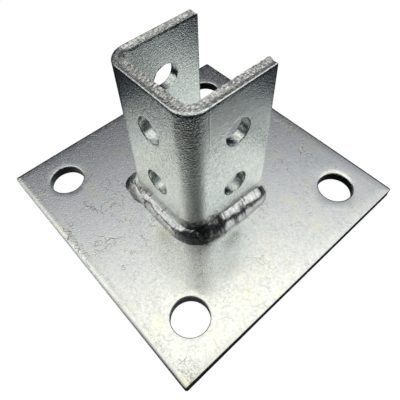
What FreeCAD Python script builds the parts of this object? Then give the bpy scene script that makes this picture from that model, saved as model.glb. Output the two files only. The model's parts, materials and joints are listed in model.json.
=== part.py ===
import FreeCAD, Part
import math
import os

# Strut post base: a square anchor plate with a folded channel welded upright near its middle.
# A framing strut drops into the channel and is cross-bolted; the plate bolts to the floor.
# Millimetres. +Z is up, the origin is the centre of the plate's underside, the channel's
# closed side (its web) faces -Y, its two flanges face -X and +X, and its open side faces +Y.

# Anchor plate
plate_side = 152.4
plate_thickness = 6.0
plate_corner_radius = 1.0
plate_edge_roll_over = 0.4
anchor_pitch = 108.8
anchor_bore = 19.05
anchor_roll_over = 0.45

# Post channel, folded from sheet
channel_clear_width = 43.4
channel_depth = 48.5
channel_height = 90.0
channel_wall = 5.0
bend_inner_radius = 4.75
end_roll_over = 0.6
flange_tip_roll_over = 0.35
channel_offset_x = 1.7
web_face_from_centre = 28.3

# Bolt holes in the channel, their heights taken from the top of the plate
bolt_bore = 14.3
bolt_roll_over = 0.3
lower_bolt_height = 28.6
bolt_pitch = 36.9
flange_bolt_from_web_face = 27.5

# Fillet welds round the channel's foot. A bead is a row of ribs across it, its ripples are a
# pitch, a height and how far each lags behind its ends, and its rounded end is a nose.
weld_rib_step = 0.75
weld_ripple_pitch = 3.0
weld_ripple_height = 0.3
weld_ripple_lag = 1.2
weld_root_depth = 0.8
weld_nose_length = 4.5
weld_past_flange_end = 3.6
weld_smallest_nose = 0.3
weld_nose_ribs = 7
weld_blank_spare = 4.0

# Hand-laid bead sizes: share of the bead's length, leg on the plate, leg up the wall, crown out
# and crown up. A crown is where the bead's shoulder stands, as a share of each leg: 0.5 and 0.5
# is flat, more is convex and less is hollow.
left_flange_bead = (
    (0.00, 4.4, 9.0, 0.95, 0.60),
    (0.30, 5.2, 8.4, 0.95, 0.60),
    (0.65, 5.0, 8.8, 0.90, 0.58),
    (1.00, 6.4, 10.5, 0.45, 0.40),
)
web_bead = (
    (0.00, 6.4, 10.5, 0.45, 0.40),
    (0.14, 9.4, 15.5, 0.30, 0.32),
    (0.24, 6.2, 10.0, 0.36, 0.34),
    (0.38, 4.4, 7.2, 0.60, 0.50),
    (0.60, 3.7, 9.4, 0.90, 0.62),
    (0.80, 3.3, 10.2, 0.95, 0.62),
    (0.93, 2.7, 9.6, 0.90, 0.60),
    (1.00, 2.9, 9.0, 0.85, 0.58),
)
right_flange_bead = (
    (0.00, 2.9, 9.0, 0.85, 0.58),
    (0.12, 3.4, 9.0, 0.95, 0.62),
    (0.32, 5.6, 8.0, 0.98, 0.62),
    (0.60, 5.4, 9.0, 0.98, 0.60),
    (0.85, 5.0, 10.2, 0.98, 0.58),
    (1.00, 5.0, 10.2, 0.98, 0.58),
)

# Sizes that follow from the values above
bend_outer_radius = bend_inner_radius + channel_wall
channel_width = channel_clear_width + 2 * channel_wall
web_face_y = -web_face_from_centre
flange_end_y = web_face_y + channel_depth
left_face_x = channel_offset_x - channel_width / 2
right_face_x = channel_offset_x + channel_width / 2
bend_centre_y = web_face_y + bend_outer_radius
left_bend_x = left_face_x + bend_outer_radius
right_bend_x = right_face_x - bend_outer_radius
plate_top = plate_thickness

# Lengths of the stretches of the channel's foot, from the left flange's end round to the right's
flange_straight = channel_depth - bend_outer_radius
bend_arc = bend_outer_radius * math.pi / 2
web_straight = channel_width - 2 * bend_outer_radius
web_start = flange_straight + bend_arc
web_end = web_start + web_straight
right_flange_start = web_end + bend_arc
foot_length = right_flange_start + flange_straight

# Where one bead hands over to the next: at the left flange's side of the left bend, and half
# way round the right bend
left_handover = flange_straight
right_handover = web_end + bend_arc / 2

# A bead is split from a blank that stands clear of its largest legs
all_sizes = left_flange_bead + web_bead + right_flange_bead
weld_blank_width = max(sizes[1] for sizes in all_sizes) + weld_blank_spare
weld_blank_height = max(sizes[2] for sizes in all_sizes) + weld_blank_spare

UP = FreeCAD.Vector(0, 0, 1)


def punch(bore, roll_over, thickness):
    """The solid that a punched hole takes out of a sheet: it enters at the origin and runs down
    -Z, and the sheet's skin is drawn in round its rim."""
    radius = bore / 2
    rim = radius + roll_over
    clear = thickness + roll_over
    corners = [
        FreeCAD.Vector(0, 0, roll_over),
        FreeCAD.Vector(rim, 0, roll_over),
        FreeCAD.Vector(rim, 0, 0),
        FreeCAD.Vector(radius, 0, -roll_over),
        FreeCAD.Vector(radius, 0, -clear),
        FreeCAD.Vector(0, 0, -clear),
        FreeCAD.Vector(0, 0, roll_over),
    ]
    return Part.Face(Part.makePolygon(corners)).revolve(FreeCAD.Vector(0, 0, 0), UP, 360)


def punched(sheet, entries, bore, roll_over, thickness):
    """The sheet with one hole at each entry point, punched against the outward normal there."""
    tool = punch(bore, roll_over, thickness)
    for point, outward in entries:
        turned = FreeCAD.Rotation(UP, outward)
        sheet = sheet.cut(tool.transformed(FreeCAD.Placement(point, turned).toMatrix()))
    return sheet


def edges_where(shape, wanted):
    """The shape's edges whose two ends and middle all pass the test."""
    chosen = []
    for edge in shape.Edges:
        middle = edge.valueAt((edge.FirstParameter + edge.LastParameter) / 2)
        points = [vertex.Point for vertex in edge.Vertexes] + [middle]
        if all(wanted(point) for point in points):
            chosen.append(edge)
    return chosen


def same(a, b):
    return abs(a - b) < 1e-6


def base_plate():
    """Square plate cut from flat bar, with an anchor hole near each corner."""
    half = plate_side / 2
    corner = FreeCAD.Vector(-half, -half, 0)
    plate = Part.makeBox(plate_side, plate_side, plate_thickness, corner)
    upright = edges_where(plate, lambda p: same(abs(p.x), half) and same(abs(p.y), half))
    plate = plate.makeFillet(plate_corner_radius, upright)
    rim = edges_where(plate, lambda p: same(p.z, plate_top))
    plate = plate.makeFillet(plate_edge_roll_over, rim)
    reach = anchor_pitch / 2
    entries = []
    for x in (-reach, reach):
        for y in (-reach, reach):
            entries.append((FreeCAD.Vector(x, y, plate_top), UP))
    return punched(plate, entries, anchor_bore, anchor_roll_over, plate_thickness)


def channel_outline(inset):
    """Edges of one side of the folded sheet, from the left flange's end round to the right's,
    this far in from its outer faces."""
    radius = bend_outer_radius - inset
    left = left_face_x + inset
    right = right_face_x - inset
    web = web_face_y + inset
    knee = radius * math.cos(math.pi / 4)
    return [
        Part.makeLine((left, flange_end_y, 0), (left, bend_centre_y, 0)),
        Part.Arc(
            FreeCAD.Vector(left, bend_centre_y, 0),
            FreeCAD.Vector(left_bend_x - knee, bend_centre_y - knee, 0),
            FreeCAD.Vector(left_bend_x, web, 0),
        ).toShape(),
        Part.makeLine((left_bend_x, web, 0), (right_bend_x, web, 0)),
        Part.Arc(
            FreeCAD.Vector(right_bend_x, web, 0),
            FreeCAD.Vector(right_bend_x + knee, bend_centre_y - knee, 0),
            FreeCAD.Vector(right, bend_centre_y, 0),
        ).toShape(),
        Part.makeLine((right, bend_centre_y, 0), (right, flange_end_y, 0)),
    ]


def folded_sheet():
    """The bent sheet before its holes, standing on the plate, its outer rims rolled by shearing."""
    tips = []
    for outer, inner in (
        (left_face_x, left_face_x + channel_wall),
        (right_face_x, right_face_x - channel_wall),
    ):
        tips.append(Part.makeLine((outer, flange_end_y, 0), (inner, flange_end_y, 0)))
    loop = channel_outline(0) + channel_outline(channel_wall) + tips
    section = Part.Face(Part.Wire(Part.__sortEdges__(loop)))
    section.translate(FreeCAD.Vector(0, 0, plate_top))
    sheet = section.extrude(UP * channel_height)
    top = plate_top + channel_height
    tip_edges = edges_where(
        sheet,
        lambda p: same(p.y, flange_end_y)
        and (same(p.x, left_face_x) or same(p.x, right_face_x)),
    )
    sheet = sheet.makeFillet(flange_tip_roll_over, tip_edges)
    inner_skin = bend_outer_radius - channel_wall / 2

    def on_outer_rim(p):
        if not same(p.z, top) or p.y > flange_end_y - flange_tip_roll_over / 2:
            return False
        if p.y < bend_centre_y and not left_bend_x < p.x < right_bend_x:
            bend_x = left_bend_x if p.x < left_bend_x else right_bend_x
            return math.hypot(p.x - bend_x, p.y - bend_centre_y) > inner_skin
        side = min(p.x - left_face_x, right_face_x - p.x, p.y - web_face_y)
        return side < channel_wall / 2

    return sheet.makeFillet(end_roll_over, edges_where(sheet, on_outer_rim))


def post_channel():
    """Folded channel with two bolt holes in its web and two pairs in line through its flanges."""
    entries = []
    for height in (lower_bolt_height, lower_bolt_height + bolt_pitch):
        z = plate_top + height
        bolt_y = web_face_y + flange_bolt_from_web_face
        entries.append((FreeCAD.Vector(left_face_x, bolt_y, z), FreeCAD.Vector(-1, 0, 0)))
        entries.append((FreeCAD.Vector(right_face_x, bolt_y, z), FreeCAD.Vector(1, 0, 0)))
        entries.append((FreeCAD.Vector(channel_offset_x, web_face_y, z), FreeCAD.Vector(0, -1, 0)))
    return punched(folded_sheet(), entries, bolt_bore, bolt_roll_over, channel_wall)


def foot_place(distance, out):
    """The point this far along the channel's foot and this far out from its face, seen in plan.
    Past either end of the foot, the line of the flange runs straight on."""
    if distance < flange_straight:
        return (left_face_x - out, flange_end_y - distance)
    if distance < web_start:
        turn = (distance - flange_straight) / bend_outer_radius
        reach = bend_outer_radius + out
        return (left_bend_x - reach * math.cos(turn), bend_centre_y - reach * math.sin(turn))
    if distance < web_end:
        return (left_bend_x + distance - web_start, web_face_y - out)
    if distance < right_flange_start:
        turn = (distance - web_end) / bend_outer_radius
        reach = bend_outer_radius + out
        return (right_bend_x + reach * math.sin(turn), bend_centre_y - reach * math.cos(turn))
    return (right_face_x + out, bend_centre_y + distance - right_flange_start)


def ease(t):
    return t * t * (3 - 2 * t)


def bead_sizes(stations, share):
    """Legs and crowns at this share of a bead, eased from one hand-laid size to the next."""
    for before, after in zip(stations, stations[1:]):
        if share <= after[0]:
            t = ease(max(0, (share - before[0]) / (after[0] - before[0])))
            return [a + (b - a) * t for a, b in zip(before[1:], after[1:])]
    return list(stations[-1][1:])


def nose_sizes():
    """Distances in from a rounded end and the bead's share of its full size at each, on an
    ellipse, so that the ribs crowd together where the end turns under."""
    first = math.asin(weld_smallest_nose)
    turns = [first + (math.pi / 2 - first) * step / weld_nose_ribs for step in range(weld_nose_ribs)]
    return [(weld_nose_length * (math.cos(first) - math.cos(turn)), math.sin(turn)) for turn in turns]


def bead_stops(start, end, start_nose, end_nose):
    """Where a bead's ribs stand along the channel's foot, and how far it has grown at each. One
    rib lies past each end, so that the skin runs through the blank's end faces."""
    tip = nose_sizes()
    reach = weld_nose_length * math.cos(math.asin(weld_smallest_nose))
    first = start + reach if start_nose else start
    last = end - reach if end_nose else end
    steps = round((last - first) / weld_rib_step)
    stops = [(first + (last - first) * step / steps, 1.0) for step in range(steps + 1)]
    if start_nose:
        stops = [(start + inward, size) for inward, size in tip] + stops
    if end_nose:
        stops = stops + [(end - inward, size) for inward, size in reversed(tip)]
    past_start = (2 * stops[0][0] - stops[1][0], stops[0][1])
    past_end = (2 * stops[-1][0] - stops[-2][0], stops[-1][1])
    return [past_start] + stops + [past_end]


def bead_rib(distance, plate_leg, wall_leg, crown_out, crown_up, lag):
    """One curve across a bead's free face, from inside the wall, over the shoulder, into the
    plate. Its shoulder lags behind its ends, as the tail of a weld pool does."""
    poles = []
    for along, out, up in (
        (distance, -weld_root_depth, wall_leg),
        (distance - lag, plate_leg * crown_out, wall_leg * crown_up),
        (distance, plate_leg, -weld_root_depth),
    ):
        x, y = foot_place(along, out)
        poles.append(FreeCAD.Vector(x, y, plate_top + up))
    curve = Part.BezierCurve()
    curve.setPoles(poles)
    return curve.toShape()


def foot_edges(start, end, out):
    """Lines and arcs that follow the channel's foot between two distances, this far out."""
    stops = [start]
    for knot in (flange_straight, web_start, web_end, right_flange_start):
        if start < knot < end:
            stops.append(knot)
    stops.append(end)
    edges = []
    for here, there in zip(stops, stops[1:]):
        points = []
        for distance in (here, (here + there) / 2, there):
            x, y = foot_place(distance, out)
            points.append(FreeCAD.Vector(x, y, plate_top))
        middle = (here + there) / 2
        on_bend = flange_straight < middle < web_start or web_end < middle < right_flange_start
        if on_bend:
            edges.append(Part.Arc(*points).toShape())
        else:
            edges.append(Part.makeLine(points[0], points[2]))
    return edges


def weld_blank(start, end):
    """Metal enough for a bead: a block that fits the channel's face and stands on the plate."""
    near = foot_edges(start, end, 0)
    far = foot_edges(start, end, weld_blank_width)
    sides = []
    for distance in (start, end):
        corners = []
        for out in (0, weld_blank_width):
            x, y = foot_place(distance, out)
            corners.append(FreeCAD.Vector(x, y, plate_top))
        sides.append(Part.makeLine(*corners))
    plan = Part.Face(Part.Wire(Part.__sortEdges__(near + far + sides)))
    return plan.extrude(UP * weld_blank_height)


def weld_bead(stations, start, end, start_nose, end_nose):
    """A rippled fillet bead between two distances along the channel's foot: its blank, split by
    the skin of its free face. An end with a nose is rounded off, another meets its neighbour."""
    ribs = []
    for distance, size in bead_stops(start, end, start_nose, end_nose):
        share = (distance - start) / (end - start)
        plate_leg, wall_leg, crown_out, crown_up = bead_sizes(stations, share)
        from_end = min(distance - start, end - distance)
        fade = ease(min(1, max(0, from_end / weld_ripple_pitch)))
        scallop = math.sin(math.pi * (distance - start) / weld_ripple_pitch) ** 2
        swell = 1 + 2 * fade * scallop * weld_ripple_height / plate_leg
        ribs.append(
            bead_rib(
                distance,
                plate_leg * size,
                wall_leg * size,
                crown_out * swell,
                crown_up * swell,
                fade * size * weld_ripple_lag,
            )
        )
    strips = [Part.makeRuledSurface(before, after) for before, after in zip(ribs, ribs[1:])]
    skin = Part.makeShell(strips)
    skin.sewShape()
    pieces = weld_blank(start, end).generalFuse([skin])[0].Solids
    x, y = foot_place((start + end) / 2, weld_root_depth / 4)
    seed = FreeCAD.Vector(x, y, plate_top + weld_root_depth / 4)
    return [piece for piece in pieces if piece.isInside(seed, 1e-4, True)][0]


def main():
    os.makedirs("parts", exist_ok=True)
    plate = base_plate()
    channel = post_channel()
    past_start = -weld_past_flange_end
    past_end = foot_length + weld_past_flange_end
    beads = {
        "left_flange_weld": weld_bead(left_flange_bead, past_start, left_handover, True, False),
        "web_weld": weld_bead(web_bead, left_handover, right_handover, False, False),
        "right_flange_weld": weld_bead(right_flange_bead, right_handover, past_end, False, True),
    }
    nodes = {"base_plate": plate, "post_channel": channel}
    nodes.update(beads)
    for name, shape in nodes.items():
        box = shape.BoundBox
        print(
            name, len(shape.Solids), "solid", shape.isValid(), round(shape.Volume, 1), "mm3",
            [round(v, 2) for v in (box.XMin, box.YMin, box.ZMin, box.XMax, box.YMax, box.ZMax)],
        )
        shape.exportStep("parts/" + name + ".step")


main()
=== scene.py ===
# %% [markdown]
# # A welded post base for framing strut
# The real object is a square steel plate with a short folded channel welded upright on it. A
# framing strut drops into the channel and is bolted through it, and the plate is bolted to the
# floor. The whole thing is zinc plated after welding.
#
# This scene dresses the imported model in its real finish. It works in metres, in the model's own
# frame: +Z is up, the origin is under the middle of the plate, and the channel's web faces -Y.
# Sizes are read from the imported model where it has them, so nothing has to be fitted by eye.

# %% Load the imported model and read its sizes
import json
import math

import bpy
from mathutils import Matrix, Quaternion, Vector, geometry, noise


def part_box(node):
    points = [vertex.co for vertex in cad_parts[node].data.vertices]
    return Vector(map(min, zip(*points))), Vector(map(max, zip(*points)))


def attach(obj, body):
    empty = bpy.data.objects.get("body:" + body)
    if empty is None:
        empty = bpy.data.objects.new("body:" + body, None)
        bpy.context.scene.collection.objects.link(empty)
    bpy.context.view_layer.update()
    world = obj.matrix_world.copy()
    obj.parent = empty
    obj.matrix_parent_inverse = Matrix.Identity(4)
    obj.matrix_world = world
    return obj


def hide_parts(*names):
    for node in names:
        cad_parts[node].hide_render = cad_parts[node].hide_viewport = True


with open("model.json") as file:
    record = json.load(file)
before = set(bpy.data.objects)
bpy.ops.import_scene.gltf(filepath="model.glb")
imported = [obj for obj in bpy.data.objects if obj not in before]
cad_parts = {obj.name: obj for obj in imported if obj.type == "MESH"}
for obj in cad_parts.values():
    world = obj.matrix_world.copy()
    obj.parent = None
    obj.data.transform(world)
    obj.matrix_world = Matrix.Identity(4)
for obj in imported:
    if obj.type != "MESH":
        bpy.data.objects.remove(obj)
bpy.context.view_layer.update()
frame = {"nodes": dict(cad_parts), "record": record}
mounts = {mount["name"]: mount for mount in frame["record"]["mounts"]}
plate_low, plate_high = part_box("base_plate")
post_low, post_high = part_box("post_channel")
MM = 0.001
print("nodes:", ", ".join(sorted(frame["nodes"])))

# %% [markdown]
# ## Camera
# The object was photographed from above its front corner with a fairly short lens held close, so
# the plate's near corner looms and the channel's sides draw together towards the plate. Place,
# lens and roll were worked out from where the plate's corners and the bolt holes lie in the
# photograph. A small vertical shift keeps the object where the picture has it.

# %% Place the camera
camera_place = Vector((112.3, -93.8, 205.7)) * MM
camera_aim = Vector((-5.65, 5.26, 6.0)) * MM
camera_roll = math.radians(-2.42)

lens = bpy.data.cameras.new("camera")
lens.sensor_width = 36.0
lens.lens = 38.9
lens.shift_x = 0.0017
lens.shift_y = -0.0697
lens.clip_start = 0.01
camera = bpy.data.objects.new("camera", lens)
bpy.context.scene.collection.objects.link(camera)
facing = (camera_aim - camera_place).to_track_quat("-Z", "Y")
turn = facing @ Quaternion((0, 0, 1), camera_roll)
camera.matrix_world = Matrix.Translation(camera_place) @ turn.to_matrix().to_4x4()
bpy.context.scene.camera = camera
print("camera is", round((camera_aim - camera_place).length / MM), "mm from its aim")

# %% [markdown]
# ## Helpers for nodes and objects
# Every material below is a small tree of shader nodes. One function adds a node, gives it its
# settings and wires its inputs: a node or a socket is linked, and anything else is set as its
# value. Colours are written as the familiar sRGB hex values and turned to the linear light that
# Blender calculates with. Every object is a mesh that is made in the same few steps, so they
# have a function too.

# %% Nodes, colours and objects
def add_node(tree, kind, inputs=None, **settings):
    """Adds a shader node. An input that is a node is linked from its first output in use."""
    node = tree.nodes.new("ShaderNode" + kind)
    for name, value in settings.items():
        setattr(node, name, value)
    for name, value in (inputs or {}).items():
        if isinstance(value, bpy.types.Node):
            value = next(output for output in value.outputs if output.enabled)
        if isinstance(value, bpy.types.NodeSocket):
            tree.links.new(value, node.inputs[name])
        else:
            node.inputs[name].default_value = value
    return node


def linear(hex_colour):
    channels = [int(hex_colour[i : i + 2], 16) / 255 for i in (1, 3, 5)]
    light = [c / 12.92 if c <= 0.04045 else ((c + 0.055) / 1.055) ** 2.4 for c in channels]
    return (*light, 1.0)


def new_tree(owner):
    owner.use_nodes = True
    owner.node_tree.nodes.clear()
    return owner.node_tree


def add_object(name, points, faces, *materials):
    """Makes a mesh of these points and faces and puts it in the scene."""
    mesh = bpy.data.meshes.new(name)
    mesh.from_pydata(points, [], faces)
    for material in materials:
        mesh.materials.append(material)
    thing = bpy.data.objects.new(name, mesh)
    bpy.context.scene.collection.objects.link(thing)
    return thing


print("mid grey is", [round(c, 3) for c in linear("#808080")[:3]])

# %% [markdown]
# ## Floor
# The photograph has a plain white ground that shows through the holes with hardly a shadow, as
# a lit acrylic table gives. So the floor glows a little itself and adds a soft trace of shadow
# from the sky. Bright metal mirrors whatever is below it, and in the photograph that is dark,
# so the floor is left out of reflections.

# %% Make the floor
floor_side = 20.0
floor_glow = 0.97
floor_drop = 0.2 * MM
acrylic = bpy.data.materials.new("lit_white_acrylic")
tree = new_tree(acrylic)
matte = add_node(tree, "BsdfDiffuse", {"Color": linear("#5A5A5A")})
glow = add_node(tree, "Emission", {"Color": linear("#FFFFFF"), "Strength": floor_glow})
both = add_node(tree, "AddShader", {0: matte, 1: glow})
add_node(tree, "OutputMaterial", {"Surface": both})

reach = floor_side / 2
corners = [(-reach, -reach, 0), (reach, -reach, 0), (reach, reach, 0), (-reach, reach, 0)]
floor = add_object("floor", corners, [(0, 1, 2, 3)], acrylic)
floor.location.z = -floor_drop
floor.visible_glossy = False
print("floor is", floor_side, "m wide")

# %% [markdown]
# The ground of the photograph is white to its edges, and a floor alone would end at a horizon in
# the low views. A studio hides it with a curved wall. Here a round wall of glowing cloth stands
# at the floor's edge. It is seen by the camera alone, so it neither lights the object nor shows
# in the metal.

# %% Stand a round white wall at the floor's edge
wall_foot, wall_height = -0.1, 12.0
wall_sides = 64
wall_glow = 1.0
cloth = bpy.data.materials.new("lit_white_cloth")
tree = new_tree(cloth)
glow = add_node(tree, "Emission", {"Color": linear("#FFFFFF"), "Strength": wall_glow})
add_node(tree, "OutputMaterial", {"Surface": glow})

around = [2 * math.pi * step / wall_sides for step in range(wall_sides)]
rim = [(reach * math.cos(angle), reach * math.sin(angle)) for angle in around]
points = [(x, y, height) for height in (wall_foot, wall_height) for x, y in rim]
quads = []
for step in range(wall_sides):
    after = (step + 1) % wall_sides
    quads.append((step, after, wall_sides + after, wall_sides + step))
round_wall = add_object("round_wall", points, quads, cloth)
round_wall.visible_glossy = False
round_wall.visible_diffuse = False
round_wall.visible_shadow = False
print("the wall has", len(quads), "sides")

# %% [markdown]
# ## Light
# Plated steel shows its surroundings more than its own colour, so the light is the look. Each
# face of the object mirrors one part of the studio. The plate runs from near white at the front
# to dark grey at the back, as under a broad ceiling light that fades towards the horizon. The
# channel's two near faces are pale and the bend between them is dark, so there is a soft box on
# each side and a wide dark gap where the camera stands. All of it is painted on one sky: first
# the fading ceiling, then round spots with soft edges over it.

# %% The studio as a sky
ceiling_heading, ceiling_tilt = -7, 12.5
# angle from the middle of the ceiling light in degrees, brightness, tint
ceiling_steps = (
    (0, 1.25, "#FFFFF4"),
    (20, 1.36, "#FFFFF4"),
    (30, 1.38, "#FFFFF4"),
    (36, 1.02, "#FFFFF9"),
    (42, 0.77, "#FCFFFE"),
    (48, 0.61, "#F4F8FF"),
    (54, 0.31, "#ECF0FF"),
    (57, 0.18, "#E8EEFF"),
    (61, 0.07, "#E6ECFF"),
    (66, 0.02, "#E0E6FF"),
    (180, 0.02, "#E0E6FF"),
)
# name, heading and elevation in degrees, radius of its core and of its soft edge, brightness
sky_spots = (
    ("camera gap", -33, 38, 21, 74, 0.02, "#E8F0FF"),
    ("left soft box", -153, 52, 6, 19, 1.12, "#FFFEF4"),
    ("low left soft box", -128, 24, 12, 24, 0.95, "#FFFFFA"),
    ("right soft box", 55, 52, 17, 27, 0.98, "#FBFCF8"),
    ("low right soft box", 39, 32, 14, 25, 1.00, "#FAFCFA"),
)


world = bpy.data.worlds.new("studio")
bpy.context.scene.world = world
tree = new_tree(world)
compass = add_node(tree, "TexCoord").outputs["Generated"]
brightest = max(level for _, level, _ in ceiling_steps)


def towards(heading, elevation):
    """The direction at this compass heading, from +X towards +Y, and height in degrees."""
    turn, tilt = math.radians(heading), math.radians(elevation)
    flat = math.cos(tilt)
    return Vector((math.cos(turn) * flat, math.sin(turn) * flat, math.sin(tilt)))


def dimmed(tint, level):
    """A tint at this brightness, as a share of the brightest part of the ceiling."""
    return [part * level / brightest for part in linear(tint)[:3]] + [1.0]


def angle_to(heading, elevation):
    """The angle in radians between the sky's direction and this one."""
    direction = towards(heading, elevation)
    cosine = add_node(tree, "VectorMath", {0: compass, 1: direction}, operation="DOT_PRODUCT")
    return add_node(tree, "Math", {0: cosine}, operation="ARCCOSINE")


from_ceiling = angle_to(ceiling_heading, 90 - ceiling_tilt)
share = add_node(tree, "MapRange", {"Value": from_ceiling, "From Max": math.pi})
painted = add_node(tree, "ValToRGB", {"Fac": share})
stops = painted.color_ramp.elements
for index, (angle, level, tint) in enumerate(ceiling_steps):
    stop = stops[index] if index < 2 else stops.new(angle / 180)
    stop.position = angle / 180
    stop.color = dimmed(tint, level)
for _, heading, elevation, core, edge, level, tint in sky_spots:
    cover = {"Value": angle_to(heading, elevation)}
    cover.update({"From Min": math.radians(edge), "From Max": math.radians(core)})
    cover = add_node(tree, "MapRange", cover, interpolation_type="SMOOTHSTEP")
    tints = {"A": painted, "B": dimmed(tint, level)}
    painted = add_node(tree, "Mix", {"Factor": cover, **tints}, data_type="RGBA")
sky = add_node(tree, "Background", {"Color": painted, "Strength": brightest})
add_node(tree, "OutputWorld", {"Surface": sky})
bpy.context.scene.view_settings.view_transform = "Standard"
print("painted over the ceiling light:", ", ".join(spot[0] for spot in sky_spots))

# %% [markdown]
# Bright metal also mirrors what lies beside it. The ground close round the plate glows softly in
# the reflections, most behind the right corner and hardly at all towards the camera. A white
# strip along the front whitens the plate's front edge, and a black one on the right keeps the
# right edge dark. Only reflections see this sheet: it is kept out of the picture, as the white
# card would be in a photograph.

# %% Glowing ground beside the plate
plate_reach = plate_high.x / MM
glow_start, glow_end = 4.0, 24.0
faintest = 0.10
under_plate, white_strip, black_strip = 0.45, 0.95, 0.01
white_width, black_width = 2.0, 7.0
hair = 0.1
left_level, right_level = 0.26, 0.54
camera_side, dark_and_lit_angles = Vector((0.7071, -0.7071)), (15, 75)
right_side = Vector((0.7071, 0.7071))


def eased(value, start, end):
    """0 up to start, 1 from end, smooth between."""
    share = max(0.0, min(1.0, (value - start) / (end - start)))
    return share * share * (3 - 2 * share)


def ground_glow(x, y):
    """Brightness of the ground at this place, in mm from the plate's middle."""
    past = max(abs(x), abs(y)) - plate_reach
    if past < -hair:
        return under_plate
    if past < white_width + hair and y < -plate_reach + hair and x < plate_reach:
        return white_strip
    if past < black_width and x > plate_reach - hair:
        return black_strip
    spot = Vector((x, y)).normalized()
    away_from_camera = math.acos(max(-1.0, min(1.0, spot.dot(camera_side))))
    lit = eased(math.degrees(away_from_camera), *dark_and_lit_angles)
    lit = faintest + (1 - faintest) * lit
    near = faintest + (1 - faintest) * (1 - eased(past, glow_start, glow_end))
    to_right = eased(spot.dot(right_side), -0.3, 0.7)
    level = left_level + (right_level - left_level) * to_right
    return level * lit * near


paper = bpy.data.materials.new("glowing_paper")
tree = new_tree(paper)
level = add_node(tree, "Attribute", attribute_name="glow")
shine = {"Color": linear("#EEF7FF"), "Strength": level.outputs["Fac"]}
shine = add_node(tree, "Emission", shine)
add_node(tree, "OutputMaterial", {"Surface": shine})

# The sheet is a net whose rows lie close together at the strips and 4 mm apart beyond them.
outer = [plate_reach, plate_reach + white_width, plate_reach + white_width + 0.8]
outer += [outer[-1] + 4.0 * step for step in range(1, 8)]
steps = [-side for side in reversed(outer)] + [0.0] + outer
side = len(steps)
points = [(x * MM, y * MM, 0) for y in steps for x in steps]
quads = []
for row in range(side - 1):
    for first in range(row * side, row * side + side - 1):
        quads.append((first, first + 1, first + side + 1, first + side))
ground = add_object("glowing_ground", points, quads, paper)
glow_levels = ground.data.attributes.new("glow", "FLOAT", "POINT")
glow_levels.data.foreach_set("value", [ground_glow(x, y) for y in steps for x in steps])
ground.location.z = -floor_drop / 2
ground.visible_camera = False
ground.visible_diffuse = False
ground.visible_shadow = False
print("glow at the right corner:", round(ground_glow(84, 84), 2))

# %% [markdown]
# ## Zinc-plated steel
# The finish is bright zinc electroplate with a clear chromate on top: barrel-bright metal with a
# faint green cast. It copies the surface under it, so hot-rolled plate stays mottled and finely
# pitted, the sheet keeps the rolling grain, and a sheared edge keeps its torn bands. Handling
# adds hair scratches and small dents, and each dent mirrors a point of bright or dark sky, which
# is what makes the surface sparkle. Patterns are worked out from real sizes in millimetres, so
# the texture space is turned to millimetres first.

# %% Patches in millimetres
smooth = {"interpolation_type": "SMOOTHSTEP"}


def patches(tree, mm, size, detail=3.0, seed=0.0, turn=0.0):
    """Noise whose patches are this size: one number, or one for each axis once turned."""
    sizes = size if isinstance(size, tuple) else (size,) * 3
    placed = {"Vector": mm, "Location": (seed, seed * 0.7, seed * 0.4)}
    placed["Rotation"] = (0.0, 0.0, math.radians(turn))
    placed["Scale"] = tuple(1 / side for side in sizes)
    placed = add_node(tree, "Mapping", placed)
    settings = {"Vector": placed, "Scale": 1.0, "Detail": detail, "Roughness": 0.6}
    return add_node(tree, "TexNoise", settings)


def blotches(tree, mm, patch, start, end):
    """Soft blotches: 0 where the noise of this (size, detail, seed) is start, 1 where it is
    end."""
    blot = {"Value": patches(tree, mm, *patch), "From Min": start, "From Max": end}
    return add_node(tree, "MapRange", blot, **smooth)


def ragged_step(tree, mm, measure, patch, shift, start, end, levels):
    """A soft step where a measure goes from start to end, its border made ragged by noise that
    shifts the measure by up to this much."""
    shifted = {0: patches(tree, mm, *patch), 1: shift, 2: measure}
    shifted = add_node(tree, "Math", shifted, operation="MULTIPLY_ADD")
    step = {"Value": shifted, "From Min": start, "From Max": end, **levels}
    return add_node(tree, "MapRange", step, **smooth)


print("patterns are in mm")

# %% [markdown]
# A scratch is hair-thin and curls, as the parts rub round each other in the barrel, and a dent is
# a round hollow that another part's corner left.

# %% Scratches and dents
noise_slope = 0.16
hair_sizes = ((5.0, 0.40, 11.0), (9.0, 0.45, 23.0), (14.0, 0.50, 31.0))
dent_sizes = ((1.0, 0.42, 0.30, 14.0), (1.8, 0.50, 0.20, 4.0), (4.5, 0.70, 0.28, 9.0))


def hairs(tree, mm, size, width, seed):
    """Curly scratches: the contour lines of a soft noise, broken up by blotches of another."""
    offset = {0: patches(tree, mm, size, 2.0, seed), 1: 0.5}
    offset = add_node(tree, "Math", offset, operation="SUBTRACT")
    offset = add_node(tree, "Math", {0: offset}, operation="ABSOLUTE")
    line = {"Value": offset, "From Min": width * noise_slope / size, "From Max": 0.0}
    line = add_node(tree, "MapRange", line, **smooth)
    kept = blotches(tree, mm, (size * 1.4, 0.0, seed + 5), 0.58, 0.70)
    return add_node(tree, "Math", {0: line, 1: kept}, operation="MULTIPLY")


def dents(tree, mm, size, radius, share, seed):
    """Round dents of this radius, in this share of cells of this size."""
    placed = {"Vector": mm, "Location": (seed, seed, seed), "Scale": (1 / size,) * 3}
    placed = add_node(tree, "Mapping", placed)
    cells = add_node(tree, "TexVoronoi", {"Vector": placed, "Scale": 1.0})
    chance = add_node(tree, "SeparateColor", {"Color": cells.outputs["Color"]})
    chosen = add_node(tree, "Math", {0: chance, 1: share}, operation="LESS_THAN")
    hollow = {"Value": cells, "From Min": radius / size, "From Max": radius * 0.3 / size}
    hollow = add_node(tree, "MapRange", hollow, **smooth)
    return add_node(tree, "Math", {0: hollow, 1: chosen}, operation="MULTIPLY")


print("the plating has", len(hair_sizes), "sizes of scratch and", len(dent_sizes), "of dent")

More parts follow.
